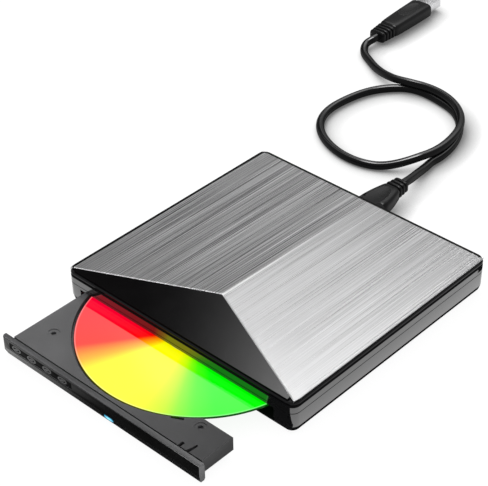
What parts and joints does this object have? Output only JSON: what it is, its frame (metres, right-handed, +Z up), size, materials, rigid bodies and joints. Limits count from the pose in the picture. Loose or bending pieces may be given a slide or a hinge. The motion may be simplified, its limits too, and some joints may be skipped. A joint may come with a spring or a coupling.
{
  "type": "external optical drive",
  "caption": "Flat square external disc drive with a folded brushed lid, a sliding disc tray half open, a spinning disc and a plug-in USB lead.",
  "frame": {"origin": "on the table at the middle of the front rubber strip's underside", "axes": "+X along the front face to the viewer's right, +Y from the front face to the rear, +Z up"},
  "size_m": [0.2051, 0.4093, 0.0224],
  "materials": {
    "shell": "gloss",
    "rim": "gloss",
    "plate": "brushed",
    "panel": "mirror gloss",
    "tray": "fine texture",
    "bezel": "satin",
    "led": "translucent",
    "steel": "satin",
    "rod": "polished",
    "rubber": "matte",
    "board": "satin",
    "chip": "matte",
    "screw": "dark",
    "disc": "iridescent",
    "rotor": "satin",
    "sled": "die cast",
    "lens": "clear",
    "cable": "satin",
    "ribbon": "film"
  },
  "bodies": {
    "case": {"lower_shell": "shell", "upper_shell": "shell", "top_cover": "rim", "lid_plate": "plate", "front_facet": "panel", "foot_front": "rubber", "foot_rear": "rubber", "drive_pan": "steel", "drive_cover": "steel", "rail_fixed_left": "steel", "rail_fixed_right": "steel", "bridge_board": "board", "bridge_chip": "chip", "usb_socket": "steel", "ribbon_cable": "ribbon", "case_screw_front_left": "screw", "case_screw_front_right": "screw", "case_screw_rear_left": "screw", "case_screw_rear_right": "screw", "pan_screw_front": "screw", "pan_screw_rear": "screw", "board_screw_left": "screw", "board_screw_right": "screw"},
    "rail_left": {"rail_middle_left": "steel"},
    "rail_right": {"rail_middle_right": "steel"},
    "tray": {"tray": "tray", "bezel": "bezel", "led_lens": "led", "eject_switch": "chip", "tray_board": "board", "mech_frame": "steel", "spindle_motor": "rotor", "guide_rod_front": "rod", "guide_rod_rear": "rod", "rod_clip_front_inner": "chip", "rod_clip_front_outer": "chip", "rod_clip_rear_inner": "chip", "rod_clip_rear_outer": "chip", "sled_motor": "steel", "runner_left": "steel", "runner_right": "steel", "tray_screw_left": "screw", "tray_screw_right": "screw"},
    "button": {"eject_button": "bezel"},
    "sled": {"pickup_sled": "sled", "pickup_lens": "lens"},
    "leadscrew": {"lead_screw": "rod"},
    "spindle": {"turntable": "rotor", "disc": "disc"},
    "lead": {"rear_plug": "cable", "rear_plug_tip": "steel", "usb_lead": "cable", "host_plug": "cable", "host_plug_tip": "steel"}
  },
  "joints": [
    {"name": "tray_slide", "type": "slide", "parent": "case", "child": "tray", "axis": [0, -1, 0], "range_m": [-0.0443, 0.082]},
    {"name": "rail_left_slide", "type": "slide", "parent": "case", "child": "rail_left", "axis": [0, -1, 0], "range_m": [-0.02215, 0.041]},
    {"name": "rail_right_slide", "type": "slide", "parent": "case", "child": "rail_right", "axis": [0, -1, 0], "range_m": [-0.02215, 0.041]},
    {"name": "eject_press", "type": "slide", "parent": "tray", "child": "button", "axis": [0, 1, 0], "range_m": [0, 0.0008], "stiffness_N_per_m": 200},
    {"name": "sled_slide", "type": "slide", "parent": "tray", "child": "sled", "axis": [-0.6157, -0.788, 0], "range_m": [-0.004, 0.022]},
    {"name": "lead_screw_spin", "type": "hinge", "parent": "tray", "child": "leadscrew", "pos_m": [-0.02895, 0.00359, 0.00565], "axis": [-0.6157, -0.788, 0], "continuous": true},
    {"name": "disc_spin", "type": "hinge", "parent": "tray", "child": "spindle", "pos_m": [0, 0.008, 0.0088], "axis": [0, 0, 1], "continuous": true},
    {"name": "plug_pull", "type": "slide", "parent": "case", "child": "lead", "axis": [0, 1, 0], "range_m": [0, 0.009]}
  ],
  "couplings": [
    {"joint": "rail_left_slide", "follows": "tray_slide", "ratio": 0.5},
    {"joint": "rail_right_slide", "follows": "tray_slide", "ratio": 0.5},
    {"joint": "lead_screw_spin", "follows": "sled_slide", "rad_per_m": 2094.4}
  ]
}
